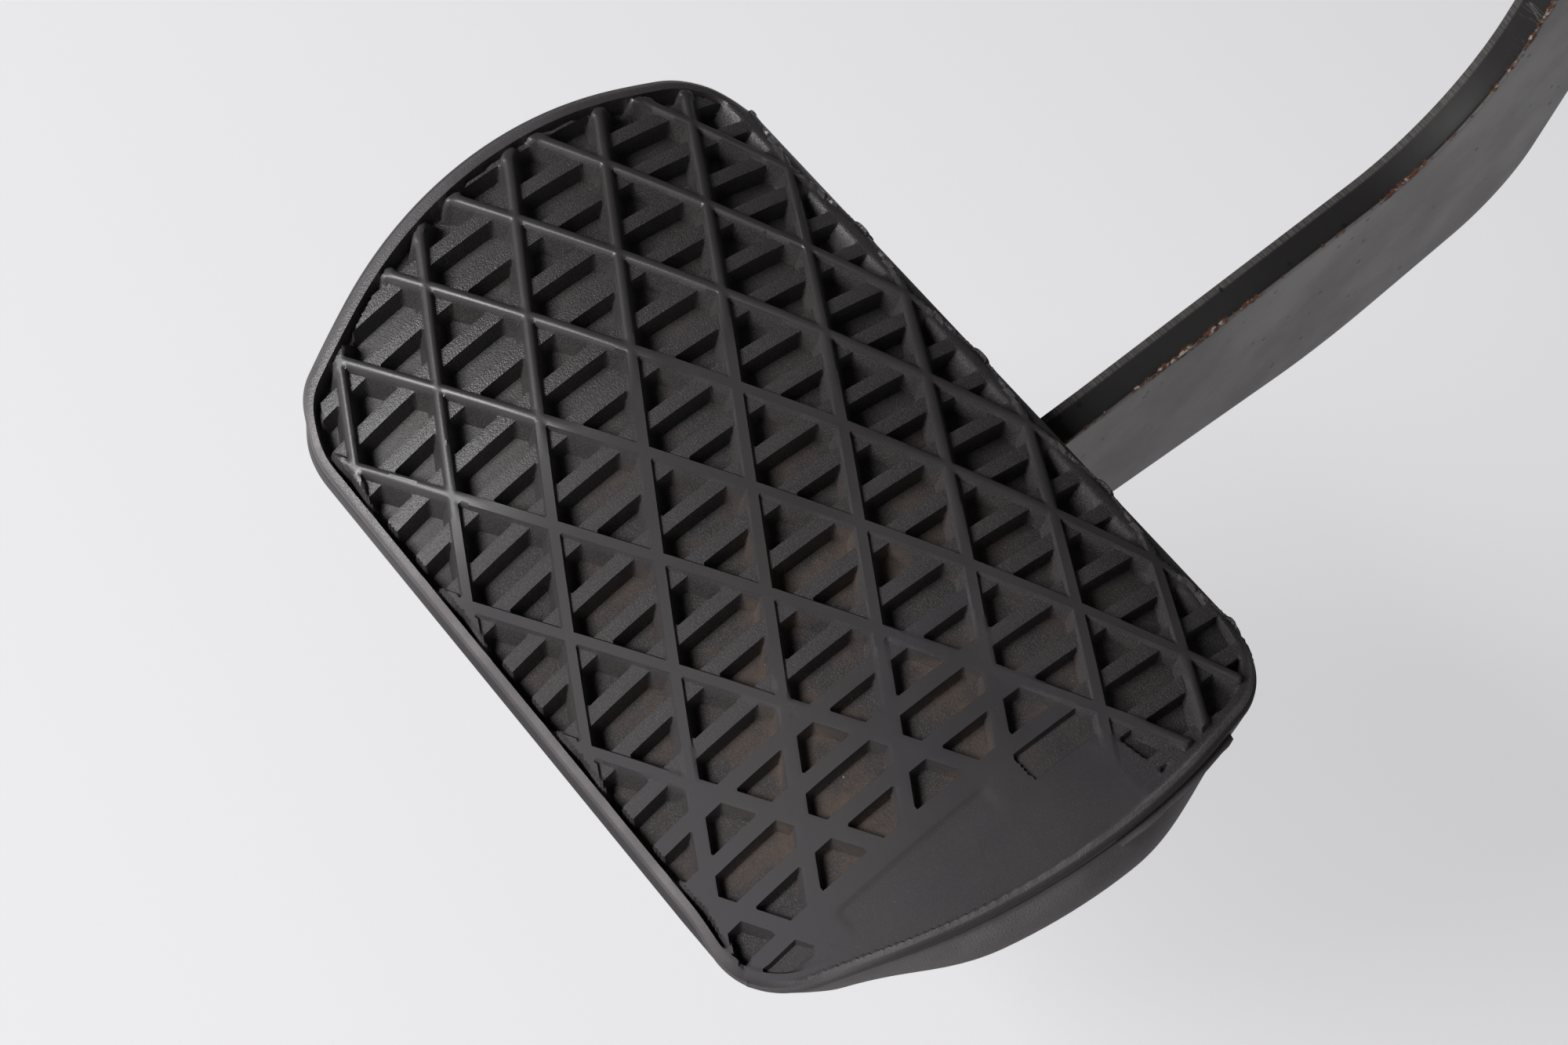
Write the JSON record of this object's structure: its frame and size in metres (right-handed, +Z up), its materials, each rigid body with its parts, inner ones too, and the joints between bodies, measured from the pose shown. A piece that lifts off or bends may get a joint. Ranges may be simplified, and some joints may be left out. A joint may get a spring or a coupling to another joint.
{
  "type": "brake pedal assembly",
  "caption": "Suspended brake pedal: worn crowned rubber pad on a bent flat steel lever that swings in a welded sheet bracket, with return spring, stop switch and pushrod fork.",
  "frame": {"origin": "the middle of the four bulkhead holes, on the face of the bracket that meets the bulkhead, which is also the line of the pushrod", "axes": "X to the driver's right along the pivot, Y forward to the bulkhead along the pushrod, Z up"},
  "size_m": [0.1285, 0.2277, 0.3048],
  "materials": {
    "bracket_paint": "satin black paint on folded sheet",
    "lever_paint": "satin black paint with chips and scratches",
    "pad_rubber": "moulded charcoal rubber, worn smooth and dusty on the right",
    "zinc_steel": "dull zinc plate",
    "spring_steel": "dark oiled spring wire",
    "white_nylon": "natural nylon",
    "black_plastic": "moulded black plastic"
  },
  "bodies": {
    "bracket": {"left_cheek": "bracket_paint", "right_cheek": "bracket_paint", "top_web": "bracket_paint", "stop_tab": "bracket_paint", "pivot_bolt": "zinc_steel", "pivot_washer": "zinc_steel", "pivot_nut": "zinc_steel", "spacer_sleeve": "zinc_steel", "stop_buffer": "pad_rubber", "switch_body": "black_plastic", "switch_nuts": "zinc_steel"},
    "pedal": {"pedal_arm": "lever_paint", "pivot_tube": "lever_paint", "left_bush": "white_nylon", "right_bush": "white_nylon", "foot_plate": "lever_paint", "rubber_pad": "pad_rubber", "pushrod_bush": "white_nylon", "spring_liner": "black_plastic", "return_spring": "spring_steel"},
    "pushrod_fork": {"clevis_fork": "zinc_steel", "clevis_pin": "zinc_steel", "clevis_clip": "spring_steel"},
    "plunger": {"switch_plunger": "white_nylon"}
  },
  "joints": [
    {"name": "pedal_swing", "type": "hinge", "parent": "bracket", "child": "pedal", "pos_m": [0, -0.13, 0.078], "axis": [1, 0, 0], "range_deg": [0, 20], "stiffness_Nm_per_rad": 4, "springref_deg": -51.57, "deforming": ["return_spring"]},
    {"name": "fork_swing", "type": "hinge", "parent": "pedal", "child": "pushrod_fork", "pos_m": [0, -0.125, 0], "axis": [1, 0, 0], "range_deg": [-20, 20]},
    {"name": "plunger_slide", "type": "slide", "parent": "bracket", "child": "plunger", "axis": [0, 1, 0], "range_m": [0, 0.004]}
  ],
  "couplings": [
    {"joint": "plunger_slide", "follows": "pedal_swing", "m_per_rad": 0.01145}
  ]
}
